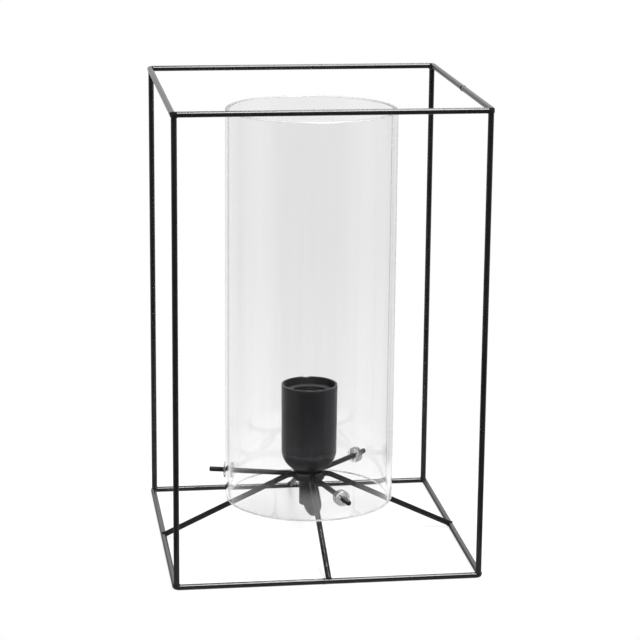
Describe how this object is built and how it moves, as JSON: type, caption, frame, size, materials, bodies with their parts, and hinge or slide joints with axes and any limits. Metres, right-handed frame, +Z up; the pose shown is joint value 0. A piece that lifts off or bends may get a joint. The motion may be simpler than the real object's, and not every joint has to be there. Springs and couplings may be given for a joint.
{
  "type": "table lamp",
  "caption": "Square wire-rod frame table lamp: an open clear glass cylinder hangs on rubber-bushed pins round a bare screw-base lampholder.",
  "frame": {"origin": "on the table, under the middle of the wire frame", "axes": "+Z up, -Y towards the viewer of the front, +X to the right"},
  "size_m": [0.2292, 0.2292, 0.35],
  "materials": {
    "black_rod": "semi-gloss black powder coat",
    "black_pin": "semi-gloss black",
    "clear_silicone": "translucent, soft",
    "clear_glass": "clear, fire-polished rims",
    "lampholder_plastic": "moulded, satin black",
    "insert_plastic": "moulded, matt",
    "shell_metal": "pressed sheet, satin",
    "brass": "satin",
    "screw_steel": "bright",
    "outlet_plastic": "moulded, matt black"
  },
  "bodies": {
    "lamp": {"base_loop": "black_rod", "top_loop": "black_rod", "upright_front_left": "black_rod", "upright_front_right": "black_rod", "upright_back_left": "black_rod", "upright_back_right": "black_rod", "strut_front": "black_rod", "strut_right": "black_rod", "strut_back": "black_rod", "strut_left": "black_rod", "hub_collar": "black_rod", "glass_cylinder": "clear_glass", "bush_back_right": "clear_silicone", "bush_left": "clear_silicone", "bush_front_right": "clear_silicone", "lampholder_cap": "lampholder_plastic", "lampholder_skirt": "lampholder_plastic", "lampholder_insert": "insert_plastic", "screw_shell": "shell_metal", "shell_terminal": "brass", "contact_terminal": "brass", "terminal_screws": "screw_steel", "threaded_nipple": "brass", "cord_gland": "outlet_plastic", "cord_boot": "outlet_plastic"},
    "pin_back_right": {"support_pin_back_right": "black_pin"},
    "pin_left": {"support_pin_left": "black_pin"},
    "pin_front_right": {"support_pin_front_right": "black_pin"},
    "contact": {"centre_contact": "brass"}
  },
  "joints": [
    {"name": "pin_back_right_draw", "type": "slide", "parent": "lamp", "child": "pin_back_right", "axis": [0.7071, 0.7071, 0], "range_m": [0, 0.0605]},
    {"name": "pin_left_draw", "type": "slide", "parent": "lamp", "child": "pin_left", "axis": [-0.9659, 0.2588, 0], "range_m": [0, 0.0605]},
    {"name": "pin_front_right_draw", "type": "slide", "parent": "lamp", "child": "pin_front_right", "axis": [0.2588, -0.9659, 0], "range_m": [0, 0.0605]},
    {"name": "contact_press", "type": "slide", "parent": "lamp", "child": "contact", "axis": [0, 0, -1], "range_m": [0, 0.002], "stiffness_N_per_m": 1500}
  ]
}
